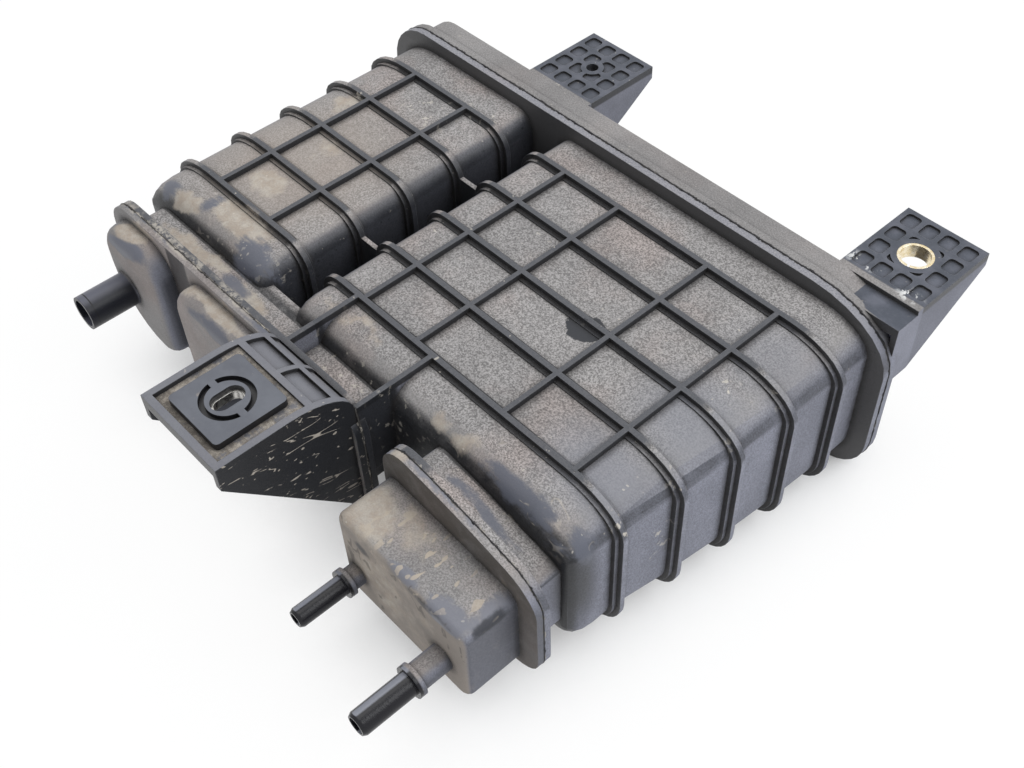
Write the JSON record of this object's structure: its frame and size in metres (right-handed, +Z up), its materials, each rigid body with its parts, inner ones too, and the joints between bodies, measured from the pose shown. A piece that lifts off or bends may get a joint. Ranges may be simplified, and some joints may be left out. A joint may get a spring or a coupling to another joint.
{
  "type": "charcoal canister",
  "caption": "Ribbed moulded canister with side-by-side chambers of carbon that holds fuel vapour, with welded end caps, hose spigots, an air port, a mounting bracket and mounting tabs.",
  "frame": {"origin": "middle of the base of the whole part", "axes": "X across the two chambers with the main chamber on +X, Y from the hose ends to the rear cover, Z up out of the ribbed top"},
  "size_m": [0.2846, 0.2832, 0.0941],
  "materials": {
    "shell": "satin moulded, dusty",
    "pad": "satin moulded, clean",
    "yellow_plating": "yellow zinc plated",
    "steel": "zinc plated",
    "grid": "moulded",
    "felt": "needled felt",
    "carbon": "packed granules"
  },
  "bodies": {
    "root": {"canister_body": "shell", "rear_cover": "shell", "vent_cap": "shell", "purge_cap": "shell", "bracket_pad": "pad", "pad_sleeve": "steel", "tab_bush": "yellow_plating", "main_screen": "grid", "main_front_felt": "felt", "main_carbon_bed": "carbon", "main_rear_felt": "felt", "main_retaining_plate": "grid", "main_spring_inner": "steel", "main_spring_outer": "steel", "vent_screen": "grid", "vent_front_felt": "felt", "vent_carbon_bed": "carbon", "vent_rear_felt": "felt", "vent_retaining_plate": "grid", "vent_spring": "steel"}
  },
  "joints": []
}
